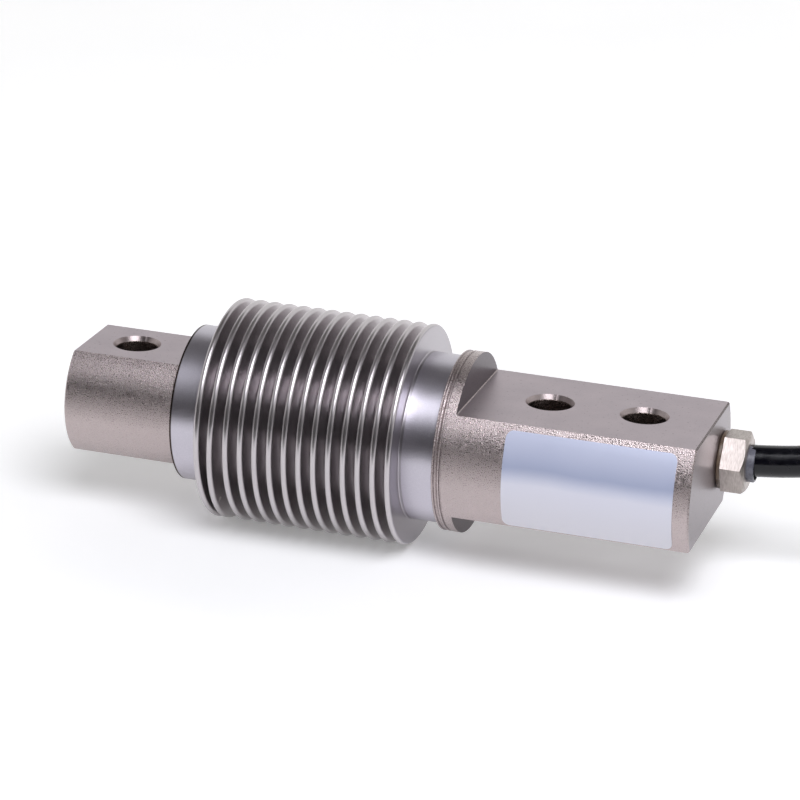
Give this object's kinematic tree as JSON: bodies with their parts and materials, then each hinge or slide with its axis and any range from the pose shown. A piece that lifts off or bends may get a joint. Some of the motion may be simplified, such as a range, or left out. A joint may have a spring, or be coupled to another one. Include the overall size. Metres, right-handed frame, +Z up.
{
  "type": "weighing load cell",
  "caption": "Bending-beam load cell: plated steel bar with flats and bolt holes at both ends, a metal bellows round the measuring beam and a side cable gland with its cable.",
  "frame": {"origin": "on the lower mounting flat, midway between the two mounting holes", "axes": "+X along the bar to its cable end, +Z up out of the upper flats, label on the -Y side"},
  "size_m": [0.3248, 0.056, 0.042],
  "materials": {
    "plated_steel": "nickel-plated, fine blasted sides and ground flats",
    "bellows_steel": "satin stainless steel",
    "label_film": "silver film with a pale blue field, no print",
    "plated_brass": "nickel-plated, satin",
    "washer_brass": "plain turned brass",
    "seal_rubber": "black rubber",
    "collar_rubber": "dark grey, smooth",
    "cable_jacket": "black, semi-gloss",
    "tie_plastic": "black nylon",
    "gauge_film": "amber film with a foil grid",
    "terminal_strip": "laminate with copper pads",
    "board_laminate": "green laminate with tinned pads",
    "resistor_ceramic": "ceramic with a dark glaze",
    "copper_wire": "enamelled copper",
    "tinned_copper": "tinned strand",
    "insulation_red": "wire insulation",
    "insulation_black": "wire insulation",
    "insulation_green": "wire insulation",
    "insulation_white": "wire insulation",
    "insulation_grey": "sleeve on the shield's lead"
  },
  "bodies": {
    "root": {"bellows": "bellows_steel", "blank_label": "label_film", "bottom_bridge_wires": "copper_wire", "cable_collar": "collar_rubber", "cable_end": "cable_jacket", "cable_hank": "cable_jacket", "cable_in_gland": "cable_jacket", "cable_tail": "cable_jacket", "compensation_board": "board_laminate", "core_black": "insulation_black", "core_green": "insulation_green", "core_red": "insulation_red", "core_white": "insulation_white", "drift_resistor": "resistor_ceramic", "gauge_bottom_load": "gauge_film", "gauge_bottom_mount": "gauge_film", "gauge_leads": "copper_wire", "gauge_top_load": "gauge_film", "gauge_top_mount": "gauge_film", "gland_bush": "seal_rubber", "gland_front_washer": "washer_brass", "gland_rear_washer": "washer_brass", "gland_screw": "plated_brass", "gland_seal_ring": "seal_rubber", "hank_tie_far": "tie_plastic", "hank_tie_near": "tie_plastic", "lead_black": "insulation_black", "lead_green": "insulation_green", "lead_red": "insulation_red", "lead_shield": "insulation_grey", "lead_tips": "tinned_copper", "lead_white": "insulation_white", "span_resistor": "resistor_ceramic", "spring_element": "plated_steel", "terminal_bottom_load": "terminal_strip", "terminal_bottom_mount": "terminal_strip", "terminal_top_load": "terminal_strip", "terminal_top_mount": "terminal_strip", "top_bridge_wires": "copper_wire", "zero_resistor": "resistor_ceramic"}
  },
  "joints": []
}
